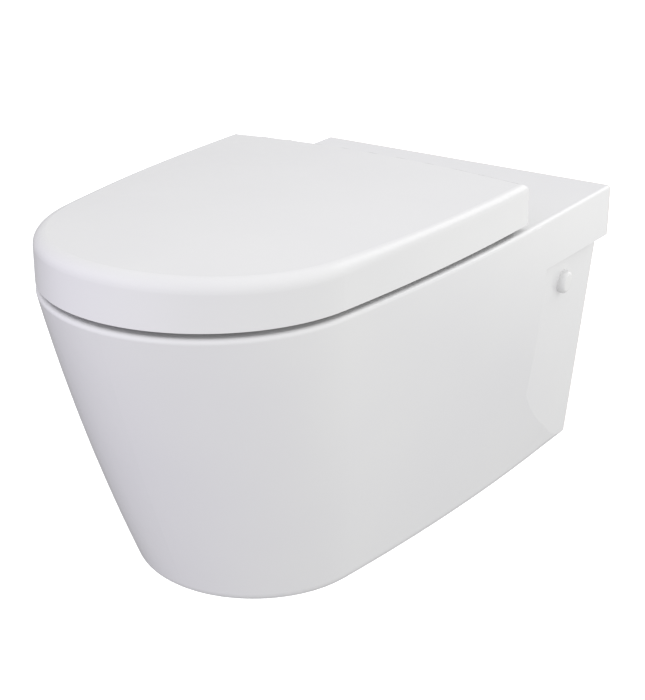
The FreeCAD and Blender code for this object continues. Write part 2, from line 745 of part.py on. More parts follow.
def build_lid():
    body = new_body("LidShell")
    shell = outline(body, "LidOutline", LID_BOTTOM, "lid_width", "lid_front", "lid_straight", "lid_back")
    extrude(body, "LidBlock", "Pad", shell, "lid_edge_rise - lid_gap + lid_crown + overcut")
    crown_outside = crown_sketch(body, "CrownOutside", "lid_back - overcut", "lid_half", LID_EDGE_TOP,
                                 "lid_crown", "overcut")
    extrude(body, "Crown", "Pocket", crown_outside, "lid_length + 2 * overcut", reverse=True)
    edge_top = number(LID_EDGE_TOP)
    round_edges(body, "LidTopEdge", "lid_edge_radius",
                lambda edge: edge.BoundBox.ZMin > edge_top - TOLERANCE)
    cavity = outline(body, "LidCavityOutline", LID_BOTTOM, "lid_width - 2 * lid_wall",
                     "lid_front - lid_wall", "lid_straight + lid_wall", "lid_back + lid_wall")
    extrude(body, "LidCavity", "Pocket", cavity, "lid_edge_rise - lid_gap - lid_wall", reverse=True)
    crown_inside = crown_sketch(body, "CrownInside", "lid_back + lid_relief_margin",
                                "lid_half - lid_relief_margin", LID_CEILING, "lid_relief_rise", "0")
    extrude(body, "CrownRelief", "Pocket", crown_inside,
            "lid_length - lid_relief_margin - lid_relief_front", reverse=True)
    notch = polygon(body, "NotchOutline", "XZ_Plane", "lid_back - overcut", [
        ("-lid_notch_width / 2", f"{LID_BOTTOM} - overcut"),
        ("lid_notch_width / 2", f"{LID_BOTTOM} - overcut"),
        ("lid_notch_width / 2", "rim_height + lid_notch_rise"),
        ("-lid_notch_width / 2", "rim_height + lid_notch_rise")])
    extrude(body, "Notch", "Pocket", notch, "lid_wall + overcut", reverse=True)
    solids = [body]
    bores = []
    for _, side_name, side in SIDES:
        start = inner_end(side, LID_KNUCKLE, "knuckle_width")
        solids.append(cylinder("LidKnuckle" + side_name, "knuckle_radius", "knuckle_width",
                               start, "-hinge_setback", AXIS_LEVEL, "X"))
        solids.append(box("LidArm" + side_name, "knuckle_width", "knuckle_block",
                          "lid_edge_rise - hinge_rise", start,
                          "-hinge_setback - knuckle_block / 2", AXIS_LEVEL))
        bores.append(cylinder("LidBore" + side_name, KNUCKLE_BORE, "knuckle_width + 2 * hinge_gap",
                              f"{start} - hinge_gap", "-hinge_setback", AXIS_LEVEL, "X"))
    finish_node(cut("Lid", fuse("LidWithKnuckles", solids), bores), "lid")


# Seat

def build_seat():
    body = new_body("SeatRing")
    inset = "lid_wall + seat_side_gap"
    ring = outline(body, "SeatOutline", SEAT_BOTTOM, f"lid_width - 2 * ({inset})",
                   f"lid_front - ({inset})", "lid_straight", "lid_back")
    extrude(body, "SeatBlock", "Pad", ring, "seat_thickness")
    rear = polygon(body, "SeatRearOutline", "XY_Plane", SEAT_BOTTOM, [
        ("-lid_half", "-seat_back"),
        ("lid_half", "-seat_back"),
        ("lid_half", "-lid_back + overcut"),
        ("-lid_half", "-lid_back + overcut")])
    extrude(body, "SeatRear", "Pocket", rear, "seat_thickness + overcut", reverse=True)
    hole = egg(body, "SeatHoleOutline", SEAT_BOTTOM, "seat_front_radius", "seat_rear_radius",
               "seat_front_centre", "seat_rear_centre")
    extrude(body, "SeatHole", "Pocket", hole, "seat_thickness + overcut", reverse=True)
    top = number(SEAT_TOP)
    round_hole = hole_edge(top, number("lid_front - seat_front_land"), number("seat_hole_back"),
                           number("seat_front_radius"))
    round_outside = level_edge(top, number("seat_back"))
    round_edges(body, "SeatOuterEdge", "seat_edge_radius",
                lambda edge: round_outside(edge) and not round_hole(edge))
    round_edges(body, "SeatHoleEdge", "seat_hole_radius", round_hole)
    solids = [body]
    bores = []
    for _, side_name, side in SIDES:
        start = inner_end(side, SEAT_KNUCKLE, "knuckle_width")
        solids.append(cylinder("SeatKnuckle" + side_name, "knuckle_radius", "knuckle_width",
                               start, "-hinge_setback", AXIS_LEVEL, "X"))
        solids.append(box("SeatArm" + side_name, "knuckle_width",
                          "seat_back - hinge_setback + seat_arm_root", "knuckle_radius",
                          start, "-seat_back - seat_arm_root", f"{AXIS_LEVEL} - knuckle_radius"))
        bores.append(cylinder("SeatBore" + side_name, KNUCKLE_BORE, "knuckle_width + 2 * hinge_gap",
                              f"{start} - hinge_gap", "-hinge_setback", AXIS_LEVEL, "X"))
    finish_node(cut("Seat", fuse("SeatWithKnuckles", solids), bores), "seat_ring")


def buffer_places():
    """Places of the buffers, measured in from the edge of the lid."""
    rows = (("rear_buffer_inset", "lid_back + rear_buffer_setback"),
            ("front_buffer_inset", "lid_front - front_buffer_setback"))
    return [(f"{side} * (lid_half - {inset})", y) for _, _, side in SIDES for inset, y in rows]


def build_buffers():
    pads = []
    lid_pads = []
    for i, (x, y) in enumerate(buffer_places()):
        pads.append(cylinder(f"SeatPad{i}", "buffer_diameter / 2", "seat_gap", x, f"-({y})", "rim_height"))
        lid_pads.append(cylinder(f"LidPad{i}", "lid_buffer_diameter / 2",
                                 f"{LID_CEILING} - ({SEAT_TOP})", x, f"-({y})", SEAT_TOP))
    finish_node(group("SeatBuffers", pads), "seat_buffers")
    finish_node(group("LidBuffers", lid_pads), "lid_buffers")


# Hinges

def build_hinge(side_label, side_name, side):
    x = f"{side} * hinge_spacing / 2"
    y = "-hinge_setback"
    plate = cylinder("Plate" + side_name, "plate_diameter / 2", "plate_thickness", x, y, "rim_height")
    plate_hole = cylinder("PlateHole" + side_name, "stud_shank / 2 + fit_gap",
                          "plate_thickness + overcut", x, y, "rim_height - overcut / 2")
    finish_node(cut("HingePlate" + side_name, plate, [plate_hole]), "hinge_plate_" + side_label)

    head = cylinder("StudHead" + side_name, "stud_head_diameter / 2", "stud_head_height", x, y, PLATE_TOP)
    shank = cylinder("StudShank" + side_name, "stud_shank / 2", "stud_length + plate_thickness",
                     x, y, "rim_height - stud_length")
    finish_node(fuse("HingeStud" + side_name, [head, shank]), "hinge_stud_" + side_label)

    block = box("BodyBlock" + side_name, "hinge_body_width", "hinge_body_depth",
                "hinge_rise - plate_thickness", f"{x} - hinge_body_width / 2",
                f"{y} - hinge_body_depth / 2", PLATE_TOP)
    crown = cylinder("BodyCrown" + side_name, "hinge_body_radius", "hinge_body_width",
                     f"{x} - hinge_body_width / 2", y, AXIS_LEVEL, "X")
    body = fuse("BodyBlank" + side_name, [block, crown])
    socket = cylinder("StudSocket" + side_name, "stud_head_diameter / 2 + socket_clearance",
                      "stud_head_height + overcut + socket_clearance", x, y, f"{PLATE_TOP} - overcut")
    pin_hole = cylinder("PinHole" + side_name, "pin_diameter / 2", "hinge_body_width + overcut",
                        f"{x} - hinge_body_width / 2 - overcut / 2", y, AXIS_LEVEL, "X")
    button_level = f"{AXIS_LEVEL} - button_drop"
    rear_face = f"{y} + hinge_body_depth / 2"
    pocket = cylinder("ButtonPocket" + side_name, "button_diameter / 2 + socket_clearance",
                      "button_pocket + overcut", x, f"{rear_face} + overcut", button_level, "FRONT")
    finish_node(cut("HingeBody" + side_name, body, [socket, pin_hole, pocket]),
                "hinge_body_" + side_label)

    button = cylinder("ReleaseButton" + side_name, "button_diameter / 2", "button_length",
                      x, f"{rear_face} + button_proud", button_level, "FRONT")
    finish_node(button, "release_button_" + side_label)

    pin_length = "hinge_body_width + 2 * (hinge_gap + knuckle_width)"
    pin_start = inner_end(side, LID_KNUCKLE, pin_length)
    pin = cylinder("HingePin" + side_name, "pin_diameter / 2", pin_length, pin_start, y, AXIS_LEVEL, "X")
    finish_node(pin, "hinge_pin_" + side_label)

    plug = cylinder("Plug" + side_name, "plug_diameter / 2", "plug_length", x, y,
                    "rim_height - plug_length")
    plug_hole = cylinder("PlugHole" + side_name, "stud_shank / 2", "plug_length + overcut", x, y,
                         "rim_height - plug_length - overcut / 2")
    nut_level = "rim_height - plug_length - nut_height"
    nut = hexagon_bar("Nut" + side_name, "nut_size", "nut_height", x, y, nut_level)
    nut_hole = cylinder("NutHole" + side_name, "stud_shank / 2", "nut_height + overcut", x, y,
                        f"{nut_level} - overcut / 2")
    return cut("ExpansionPlug" + side_name, plug, [plug_hole]), cut("PlugNut" + side_name, nut, [nut_hole])


def build_sleeve(name, label, side, inner):
    """Damper or bush in a knuckle, running on the hinge pin."""
    start = inner_end(side, inner, "knuckle_width")
    sleeve = cylinder(name + "Blank", "damper_diameter / 2", "knuckle_width", start,
                      "-hinge_setback", AXIS_LEVEL, "X")
    bore = cylinder(name + "Bore", "pin_diameter / 2 + pin_clearance", "knuckle_width + overcut",
                    f"{start} - overcut / 2", "-hinge_setback", AXIS_LEVEL, "X")
    finish_node(cut(name, sleeve, [bore]), label)


def build_hinges():
    pieces = [build_hinge(*names) for names in SIDES]
    finish_node(group("ExpansionPlugs", [plug for plug, _ in pieces]), "expansion_plugs")
    finish_node(group("PlugNuts", [nut for _, nut in pieces]), "plug_nuts")
    build_sleeve("LidDamper", "lid_damper", -1, LID_KNUCKLE)
    build_sleeve("LidBush", "lid_bush", 1, LID_KNUCKLE)
    build_sleeve("SeatDamper", "seat_damper", 1, SEAT_KNUCKLE)
    build_sleeve("SeatBush", "seat_bush", -1, SEAT_KNUCKLE)


# Side fixing

def build_side_fixing(side_label, side_name, side):
    x = f"{side} * stud_spacing / 2"
    sleeve = cylinder("AnchorSleeve" + side_name, "anchor_diameter / 2", "anchor_length",
                      x, "0", "0", "FRONT")
    head = hexagon_bar("AnchorHead" + side_name, "anchor_head_size", "anchor_head_length",
                       x, "-anchor_length", "0", "FRONT")
    blank = fuse("AnchorBlank" + side_name, [sleeve, head])
    stud_bore = cylinder("AnchorBore" + side_name, "anchor_bore / 2",
                         "anchor_length + anchor_head_length + overcut", x, "overcut / 2", "0", "FRONT")
    thread = rod("ClampThread" + side_name, "clamp_shank / 2", "clamp_length + overcut")
    along_clamp(thread, side, "-clamp_length")
    finish_node(cut("WallAnchor" + side_name, blank, [stud_bore, thread]), "wall_anchor_" + side_label)

    ring = cylinder("BushRing" + side_name, "anchor_diameter / 2 + bush_wall",
                    "bulkhead_thickness", x, "0", "0", "FRONT")
    flange = cylinder("BushFlange" + side_name, "anchor_diameter / 2 + bush_wall + bush_flange",
                      "bush_flange_thickness", x, "-bulkhead_thickness", "0", "FRONT")
    bush_bore = cylinder("BushBore" + side_name, "anchor_diameter / 2 + fit_gap / 2",
                         "bulkhead_thickness + bush_flange_thickness + overcut", x, "overcut / 2", "0",
                         "FRONT")
    bush = cut("AnchorBush" + side_name, fuse("BushBlank" + side_name, [ring, flange]), [bush_bore])

    shank = rod("ClampShank" + side_name, "clamp_shank / 2", "clamp_length")
    along_clamp(shank, side, "-clamp_length")
    screw_head = hexagon("ClampHead" + side_name, "clamp_head_diameter / 2", "clamp_head_height")
    along_clamp(screw_head, side, "0")
    finish_node(fuse("ClampScrew" + side_name, [shank, screw_head]), "clamp_screw_" + side_label)

    dome = rod("CapBlank" + side_name, "cap_diameter / 2", "cap_height")
    doc.recompute()
    rounded = doc.addObject("Part::Fillet", "CapDome" + side_name)
    rounded.Base = dome
    radius = number("cap_edge_radius")
    height = number("cap_height")
    rounded.Edges = [(i, radius, radius) for i, edge in enumerate(dome.Shape.Edges, start=1)
                     if edge.BoundBox.ZMin > height - TOLERANCE]
    hollow = rod("CapHollow" + side_name, "clamp_head_diameter / 2 + cap_wall", "cap_height - cap_wall")
    finish_node(along_clamp(cut("SideCap" + side_name, rounded, [hollow]), side, "0"),
                "side_cap_" + side_label)
    return bush


build_pan()
build_lid()
build_seat()
build_buffers()
build_hinges()
finish_node(group("AnchorBushes", [build_side_fixing(*names) for names in SIDES]), "anchor_bushes")
doc.removeObject(trial.Name)
doc.recompute()

for obj in doc.Objects:
    if "Invalid" in obj.State or "Error" in obj.State:
        raise RuntimeError(f"{obj.Label} did not build: {obj.State}")
for node in nodes:
    if node.Shape.isNull() or not node.Shape.isValid():
        raise RuntimeError(f"{node.Label} has no valid shape")

os.makedirs("parts", exist_ok=True)
for node in nodes:
    node.Shape.exportStep(f"parts/{node.Label}.step")
    print(f"{node.Label}: {len(node.Shape.Solids)} solids, {node.Shape.Volume / 1000:.1f} cm3")
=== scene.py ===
import json
import math

import bmesh
import bpy
from mathutils import Matrix, Vector
from mathutils.geometry import convex_hull_2d

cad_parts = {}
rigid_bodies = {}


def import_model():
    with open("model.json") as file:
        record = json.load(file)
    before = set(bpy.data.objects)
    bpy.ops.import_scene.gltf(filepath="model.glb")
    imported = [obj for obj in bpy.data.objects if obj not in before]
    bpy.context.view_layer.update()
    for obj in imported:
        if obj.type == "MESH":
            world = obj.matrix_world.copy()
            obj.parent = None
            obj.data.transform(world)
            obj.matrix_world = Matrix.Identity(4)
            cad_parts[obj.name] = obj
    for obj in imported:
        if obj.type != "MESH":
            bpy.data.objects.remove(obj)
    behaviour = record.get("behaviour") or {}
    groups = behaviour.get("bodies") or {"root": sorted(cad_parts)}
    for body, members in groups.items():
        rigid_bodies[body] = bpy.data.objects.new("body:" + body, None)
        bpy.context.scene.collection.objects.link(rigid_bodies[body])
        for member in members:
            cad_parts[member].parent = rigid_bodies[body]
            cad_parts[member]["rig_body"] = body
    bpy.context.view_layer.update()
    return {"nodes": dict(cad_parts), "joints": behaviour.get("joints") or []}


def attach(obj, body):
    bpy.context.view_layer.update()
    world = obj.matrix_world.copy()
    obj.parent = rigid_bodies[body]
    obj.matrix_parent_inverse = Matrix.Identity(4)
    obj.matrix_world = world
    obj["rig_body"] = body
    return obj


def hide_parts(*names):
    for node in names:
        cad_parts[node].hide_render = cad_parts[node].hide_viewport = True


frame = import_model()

nodes = frame["nodes"]
scene = bpy.context.scene


# Shader helpers

NOISE_RANGE = (0.3, 0.7)
EVEN = (1.0, 1.0, 1.0)
FINISH_DETAIL = 3.0
FINISH_IOR = 1.5


def new_material(name):
    material = bpy.data.materials.new(name)
    material.use_nodes = True
    shader = material.node_tree.nodes["Principled BSDF"]
    return material, material.node_tree, shader


def add(tree, kind, **settings):
    node = tree.nodes.new("ShaderNode" + kind)
    for name, value in settings.items():
        setattr(node, name, value)
    return node


def math_node(tree, operation, *values):
    node = add(tree, "Math", operation=operation)
    for socket, value in zip(node.inputs, values):
        if isinstance(value, (int, float)):
            socket.default_value = value
        else:
            tree.links.new(value, socket)
    return node.outputs[0]


def object_point(tree):
    """Object coordinates, which are the part's own frame in metres."""
    return add(tree, "TexCoord").outputs["Object"]


def noise(tree, scale, detail=2.0, stretch=EVEN):
    mapping = add(tree, "Mapping")
    mapping.inputs["Scale"].default_value = stretch
    tree.links.new(object_point(tree), mapping.inputs["Vector"])
    texture = add(tree, "TexNoise")
    texture.inputs["Scale"].default_value = scale
    texture.inputs["Detail"].default_value = detail
    tree.links.new(mapping.outputs["Vector"], texture.inputs["Vector"])
    return texture.outputs["Fac"]


def span(tree, value, low, high, source=NOISE_RANGE, smooth=False):
    """A value carried from its source range to a low and a high end."""
    node = add(tree, "MapRange", interpolation_type="SMOOTHSTEP" if smooth else "LINEAR")
    node.inputs["From Min"].default_value, node.inputs["From Max"].default_value = source
    node.inputs["To Min"].default_value, node.inputs["To Max"].default_value = low, high
    tree.links.new(value, node.inputs["Value"])
    return node.outputs["Result"]


def fade_in(tree, value, ends, top=1.0):
    """A smooth rise from nothing at the first end to the top at the second."""
    return span(tree, value, 0.0, top, ends, smooth=True)


def blend_colours(tree, factor, first, second):
    node = add(tree, "Mix", data_type="RGBA")
    tree.links.new(factor, node.inputs["Factor"])
    ends = [socket for socket in node.inputs if socket.type == "RGBA"]
    for socket, colour in zip(ends, (first, second)):
        if isinstance(colour, tuple):
            socket.default_value = (*colour, 1.0)
        else:
            tree.links.new(colour, socket)
    return [socket for socket in node.outputs if socket.type == "RGBA"][0]


def blend_values(tree, factor, first, second):
    node = add(tree, "Mix", data_type="FLOAT")
    tree.links.new(factor, node.inputs["Factor"])
    tree.links.new(first, node.inputs["A"])
    tree.links.new(second, node.inputs["B"])
    return node.outputs["Result"]


def relief(tree, height, depth, under=None):
    node = add(tree, "Bump")
    node.inputs["Distance"].default_value = depth
    tree.links.new(height, node.inputs["Height"])
    if under is not None:
        tree.links.new(under, node.inputs["Normal"])
    return node.outputs["Normal"]


def finish(name, dark, light, roughness, colour_scale, grain_scale, grain_depth, metallic=0.0, stretch=EVEN):
    """Surface with a mottled colour, an uneven gloss and a fine relief."""
    material, tree, shader = new_material(name)
    shader.inputs["Metallic"].default_value = metallic
    shader.inputs["IOR"].default_value = FINISH_IOR
    mottle = noise(tree, colour_scale, FINISH_DETAIL)
    grain = noise(tree, grain_scale, FINISH_DETAIL, stretch)
    colour = blend_colours(tree, span(tree, mottle, 0.0, 1.0), dark, light)
    tree.links.new(colour, shader.inputs["Base Color"])
    tree.links.new(span(tree, grain, *roughness), shader.inputs["Roughness"])
    tree.links.new(relief(tree, grain, grain_depth), shader.inputs["Normal"])
    return material


# Materials

GLAZE_IOR = 1.52
GLAZE_COLOURS = (0.800, 0.799, 0.810), (0.824, 0.824, 0.824)
GLAZE_ROUGHNESS = (0.10, 0.16)
CLAY_COLOURS = (0.60, 0.56, 0.50), (0.72, 0.69, 0.64)
CLAY_ROUGHNESS = (0.80, 0.92)
CLOUD_SCALE, SPECK_SCALE, GLOSS_SCALE, RIPPLE_SCALE = 5.0, 420.0, 16.0, 95.0
RIPPLE_DEPTH, GRIT_DEPTH = 0.000025, 0.00025

# Bare clay shows on the wall face and in the hollow behind the bowl. Each pair, in metres, gives where a
# soft change starts and ends. The hollow's half width leans with the recess, up to the plain skirt's reach.
WALL_FACE = (-0.0016, -0.0006)
HOLLOW_FRONT = (-0.26, -0.13)
HOLLOW_TOP = (0.064, 0.070)
HOLLOW_FOOT = (-0.2385, -0.236)
HOLLOW_SIDE = (-0.001, 0.002)
RECESS_LEAN, RECESS_REACH, SKIRT_REACH = 0.1011, 0.1683, 0.1705


def glazed_ceramic():
    """White glaze outside and in the bowl, bare fired clay on the wall face and in the open back."""
    material, tree, shader = new_material("glazed_ceramic")
    shader.inputs["IOR"].default_value = GLAZE_IOR
    split = add(tree, "SeparateXYZ")
    tree.links.new(object_point(tree), split.inputs["Vector"])
    x, y, z = split.outputs
    wall_face = fade_in(tree, y, WALL_FACE)
    depth = fade_in(tree, y, HOLLOW_FRONT)
    recess = math_node(tree, "MULTIPLY_ADD", z, RECESS_LEAN, RECESS_REACH)
    skin = math_node(tree, "MINIMUM", recess, SKIRT_REACH)
    inside = fade_in(tree, math_node(tree, "SUBTRACT", skin, math_node(tree, "ABSOLUTE", x)), HOLLOW_SIDE)
    under_deck = span(tree, z, 1.0, 0.0, HOLLOW_TOP, smooth=True)
    above_base = fade_in(tree, z, HOLLOW_FOOT)
    hollow = math_node(tree, "MULTIPLY", math_node(tree, "MULTIPLY", depth, inside),
                       math_node(tree, "MULTIPLY", under_deck, above_base))
    bare = math_node(tree, "MAXIMUM", wall_face, hollow)
    cloud = span(tree, noise(tree, CLOUD_SCALE), 0.0, 1.0)
    speck = span(tree, noise(tree, SPECK_SCALE, detail=3.0), 0.0, 1.0)
    glaze_colour = blend_colours(tree, cloud, *GLAZE_COLOURS)
    clay_colour = blend_colours(tree, speck, *CLAY_COLOURS)
    tree.links.new(blend_colours(tree, bare, glaze_colour, clay_colour), shader.inputs["Base Color"])
    glaze_gloss = span(tree, noise(tree, GLOSS_SCALE), *GLAZE_ROUGHNESS)
    clay_gloss = span(tree, speck, *CLAY_ROUGHNESS, source=(0.0, 1.0))
    tree.links.new(blend_values(tree, bare, glaze_gloss, clay_gloss), shader.inputs["Roughness"])
    ripple = relief(tree, noise(tree, RIPPLE_SCALE, detail=1.0), RIPPLE_DEPTH)
    grit = relief(tree, math_node(tree, "MULTIPLY", speck, bare), GRIT_DEPTH, ripple)
    tree.links.new(grit, shader.inputs["Normal"])
    return material


GLAZE = glazed_ceramic()
SHELL = finish("polished_thermoset", (0.800, 0.800, 0.803), (0.818, 0.818, 0.817), roughness=(0.17, 0.21),
               colour_scale=7.0, grain_scale=90.0, grain_depth=0.000004)
BUFFER = finish("soft_buffer", (0.60, 0.60, 0.59), (0.68, 0.68, 0.67), roughness=(0.45, 0.6),
                colour_scale=60.0, grain_scale=900.0, grain_depth=0.00006)
CHROME = finish("hinge_chrome", (0.66, 0.67, 0.69), (0.74, 0.75, 0.76), roughness=(0.07, 0.16),
                colour_scale=40.0, grain_scale=160.0, grain_depth=0.00001, metallic=1.0)
STEEL = finish("plated_steel", (0.50, 0.51, 0.53), (0.64, 0.64, 0.63), roughness=(0.28, 0.42),
               colour_scale=180.0, grain_scale=700.0, grain_depth=0.00004, metallic=1.0)
PLUG = finish("plug_rubber", (0.022, 0.022, 0.023), (0.040, 0.040, 0.040), roughness=(0.6, 0.78),
              colour_scale=70.0, grain_scale=800.0, grain_depth=0.00008)
BRASS = finish("turned_brass", (0.60, 0.44, 0.19), (0.72, 0.55, 0.27), roughness=(0.22, 0.36),
               colour_scale=120.0, grain_scale=900.0, grain_depth=0.00003, metallic=1.0,
               stretch=(0.3, 0.3, 6.0))
DAMPER = finish("damper_plastic", (0.055, 0.057, 0.062), (0.080, 0.082, 0.086), roughness=(0.38, 0.52),
                colour_scale=60.0, grain_scale=700.0, grain_depth=0.00005)
BUSH = finish("bush_plastic", (0.70, 0.70, 0.68), (0.78, 0.78, 0.75), roughness=(0.4, 0.55),
              colour_scale=50.0, grain_scale=700.0, grain_depth=0.00005)
ANCHOR = finish("cast_zinc", (0.34, 0.35, 0.36), (0.50, 0.51, 0.52), roughness=(0.42, 0.6),
                colour_scale=130.0, grain_scale=420.0, grain_depth=0.00018, metallic=1.0)
CAP = finish("cap_plastic", (0.80, 0.80, 0.80), (0.83, 0.83, 0.825), roughness=(0.16, 0.26),
             colour_scale=40.0, grain_scale=500.0, grain_depth=0.00003)

NODE_FINISHES = {
    GLAZE: ["pan"],
    SHELL: ["lid", "seat_ring"],
    BUFFER: ["seat_buffers", "lid_buffers"],
    CHROME: ["hinge_plate", "hinge_body", "release_button"],
    STEEL: ["hinge_stud", "hinge_pin", "clamp_screw"],
    PLUG: ["expansion_plugs"],
    BRASS: ["plug_nuts"],
    DAMPER: ["lid_damper", "seat_damper"],
    BUSH: ["lid_bush", "seat_bush", "anchor_bushes"],
    ANCHOR: ["wall_anchor"],
    CAP: ["side_cap"],
}
for material, names in NODE_FINISHES.items():
    for name in names:
        for node in (name, name + "_left", name + "_right"):
            if node in nodes:
                nodes[node].data.materials.clear()
                nodes[node].data.materials.append(material)


# Turned and moulded pieces, in metres, which stand for the plain solids of small parts

STEPS = 36
SIDES = (("left", -1.0), ("right", 1.0))
THREAD_PITCH = 0.00125
THREAD_SHARE = 0.17
THREAD_ROWS = 6
SMOOTH_ANGLE = math.radians(32)
HEX_SIXTH = math.pi / 3
HEAD_BEVEL = 0.0006
SOCKET_SHARE = 0.6
WELD_DISTANCE = 1e-7


def round_edge(angle, height):
    return 1.0


def hex_edge(angle, height):
    """Reach of a hexagon's edge as a share of its corner radius."""
    return math.cos(HEX_SIXTH / 2) / math.cos(angle % HEX_SIXTH - HEX_SIXTH / 2)


def thread_edge(angle, height):
    """Reach of a screw thread as a share of its outer radius."""
    turn = (height / THREAD_PITCH - angle / math.tau) % 1.0
    return 1.0 - THREAD_SHARE * abs(2.0 * turn - 1.0)


def turned(form, rows, place):
    """Add a turned shape to a form, through rows of height, radius and edge shape."""
    rings = []
    for height, radius, edge in rows:
        ring = []
        for i in range(STEPS if radius else 1):
            angle = math.tau * i / STEPS
            reach = radius * edge(angle, height)
            point = Vector((reach * math.cos(angle), reach * math.sin(angle), height))
            ring.append(form.verts.new(place @ point))
        rings.append(ring)
    for low, high in zip(rings, rings[1:]):
        for i in range(STEPS):
            loop = (low, i), (low, i + 1), (high, i + 1), (high, i)
            form.faces.new(dict.fromkeys(ring[j % len(ring)] for ring, j in loop))


def detailed(name, node, material, form):
    """Finish a form as a piece that stands for a node and rides on the node's body."""
    bmesh.ops.remove_doubles(form, verts=form.verts, dist=WELD_DISTANCE)
    bmesh.ops.recalc_face_normals(form, faces=form.faces)
    mesh = bpy.data.meshes.new(name)
    form.to_mesh(mesh)
    form.free()
    mesh.shade_smooth()
    mesh.set_sharp_from_angle(angle=SMOOTH_ANGLE)
    mesh.materials.append(material)
    piece = bpy.data.objects.new(name, mesh)
    scene.collection.objects.link(piece)
    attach(piece, nodes[node]["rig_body"])
    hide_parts(node)


def rounded(*rows):
    return [(height, radius, round_edge) for height, radius in rows]


def threaded(start, end, radius):
    count = round((end - start) / THREAD_PITCH * THREAD_ROWS)
    return [(start + (end - start) * i / count, radius, thread_edge) for i in range(count + 1)]


def socket_head(base, top, radius, edge, socket):
    """Rows of a screw head with a hexagon socket."""
    floor = top - SOCKET_SHARE * (top - base)
    return [(base, radius - HEAD_BEVEL, round_edge), (base + HEAD_BEVEL / 2, radius, edge),
            (top - HEAD_BEVEL, radius, edge), (top, radius - 2 * HEAD_BEVEL, round_edge),
            (top, socket, hex_edge), (floor, socket, hex_edge), (floor - HEAD_BEVEL / 2, 0.0, round_edge)]


def moulded_pads(name, node, level, rows):
    form = bmesh.new()
    for x, y in BUFFER_PLACES:
        for _, side in SIDES:
            turned(form, rows, Matrix.Translation((side * x, y, level)))
    detailed(name, node, BUFFER, form)


BUFFER_PLACES = ((0.153, -0.330), (0.112, -0.563))
SEAT_PAD_LEVEL, LID_PAD_LEVEL = 0.080, 0.113
SEAT_PAD = rounded((0.0006, 0.0), (0.0006, 0.0030), (0.0, 0.0048), (0.0, 0.0066), (0.0007, 0.0081),
                   (0.0020, 0.0088), (0.0042, 0.0090), (0.0046, 0.0084), (0.0052, 0.0084), (0.0056, 0.0090),
                   (0.0070, 0.0090), (0.0070, 0.0))
LID_PAD = rounded((0.0004, 0.0), (0.0, 0.0034), (0.0004, 0.0050), (0.0015, 0.0060), (0.0038, 0.0064),
                  (0.0078, 0.0064), (0.0083, 0.0070), (0.0115, 0.0070), (0.0115, 0.0))
moulded_pads("moulded_seat_buffers", "seat_buffers", SEAT_PAD_LEVEL, SEAT_PAD)
moulded_pads("moulded_lid_buffers", "lid_buffers", LID_PAD_LEVEL, LID_PAD)

HINGE_X, HINGE_Y = 0.0775, -0.213
STUD_END, STUD_THREAD, PLATE_TOP, STUD_TOP = 0.030, 0.031, 0.0835, 0.0905
STUD_RADIUS, STUD_TIP, STUD_HEAD, STUD_SOCKET = 0.004, 0.0030, 0.005, 0.0026
STUD_ROWS = (rounded((STUD_END, 0.0), (STUD_END, STUD_TIP))
             + threaded(STUD_THREAD, PLATE_TOP, STUD_RADIUS)
             + socket_head(PLATE_TOP, STUD_TOP, STUD_HEAD, round_edge, STUD_SOCKET))

NUT_BASE, NUT_TOP, NUT_BEVEL = 0.038, 0.046, 0.0007
NUT_FACE, NUT_CORNER = 0.0062, 0.0075
NUT_ROWS = [(NUT_BASE, STUD_RADIUS, round_edge), (NUT_BASE, NUT_FACE, round_edge),
            (NUT_BASE + NUT_BEVEL, NUT_CORNER, hex_edge), (NUT_TOP - NUT_BEVEL, NUT_CORNER, hex_edge),
            (NUT_TOP, NUT_FACE, round_edge), (NUT_TOP, STUD_RADIUS, round_edge),
            (NUT_BASE, STUD_RADIUS, round_edge)]

PLUG_RIM, PLUG_FOOT = 0.080, 0.0058
RIB_COUNT, RIB_START, RIB_STEP = 15, 0.002, 0.0012
RIB_RADII = (0.0068, 0.0061)
RIBS = [(NUT_TOP + RIB_START + RIB_STEP * i, RIB_RADII[i % 2]) for i in range(RIB_COUNT)]
PLUG_ROWS = rounded((NUT_TOP, STUD_RADIUS), (NUT_TOP, PLUG_FOOT), *RIBS, (PLUG_RIM, RIB_RADII[0]),
                    (PLUG_RIM, STUD_RADIUS), (NUT_TOP, STUD_RADIUS))

BUTTON_Y, BUTTON_Z = -0.214, 0.0965
BUTTON_ROWS = rounded((0.0, 0.0), (0.0, 0.0036), (0.0004, 0.0040), (0.0095, 0.0040), (0.0101, 0.0038),
                      (0.0105, 0.0033), (0.0103, 0.0022), (0.0100, 0.0011), (0.0099, 0.0))

CLAMP_SEAT = Vector((0.17842, -0.088, -0.010))
CLAMP_END, CLAMP_THREAD, CLAMP_TOP = -0.082, -0.081, 0.0055
CLAMP_TIP, CLAMP_HEAD, CLAMP_SOCKET = 0.0029, 0.008, 0.0034
CLAMP_ROWS = (rounded((CLAMP_END, 0.0), (CLAMP_END, CLAMP_TIP))
              + threaded(CLAMP_THREAD, 0.0, STUD_RADIUS)
              + socket_head(0.0, CLAMP_TOP, CLAMP_HEAD, hex_edge, CLAMP_SOCKET))

